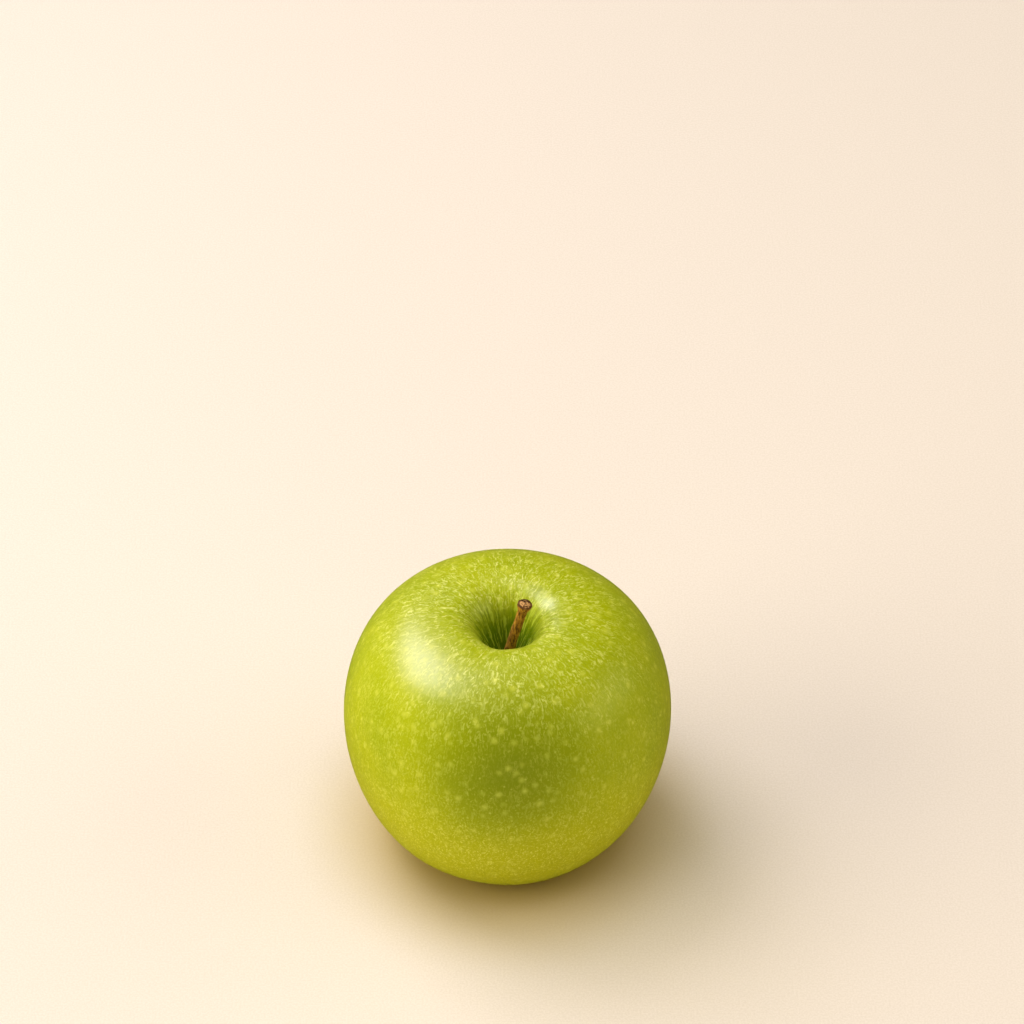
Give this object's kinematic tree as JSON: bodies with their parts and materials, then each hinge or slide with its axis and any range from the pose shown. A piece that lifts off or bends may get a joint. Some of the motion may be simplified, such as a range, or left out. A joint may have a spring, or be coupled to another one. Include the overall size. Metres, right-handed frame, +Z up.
{
  "type": "apple",
  "caption": "Round green apple with a woody stem in a deep stem cavity, and a basin with a dried calyx under it.",
  "frame": {"origin": "on the surface that the apple stands on, under the middle of the fruit", "axes": "+Z up along the stem cavity, +X the way the stem leans, -Y the side that faces the viewer in the picture"},
  "size_m": [0.08, 0.08, 0.0737],
  "materials": {
    "skin": "satin, waxy yellow-green skin with fine pale flecks and dots",
    "stem": "rough brown bark",
    "sepal": "matte, dried and downy",
    "stamen": "matte, dried"
  },
  "bodies": {
    "root": {"fruit": "skin", "stem": "stem", "sepal_1": "sepal", "sepal_2": "sepal", "sepal_3": "sepal", "sepal_4": "sepal", "sepal_5": "sepal", "stamens": "stamen"}
  },
  "joints": []
}
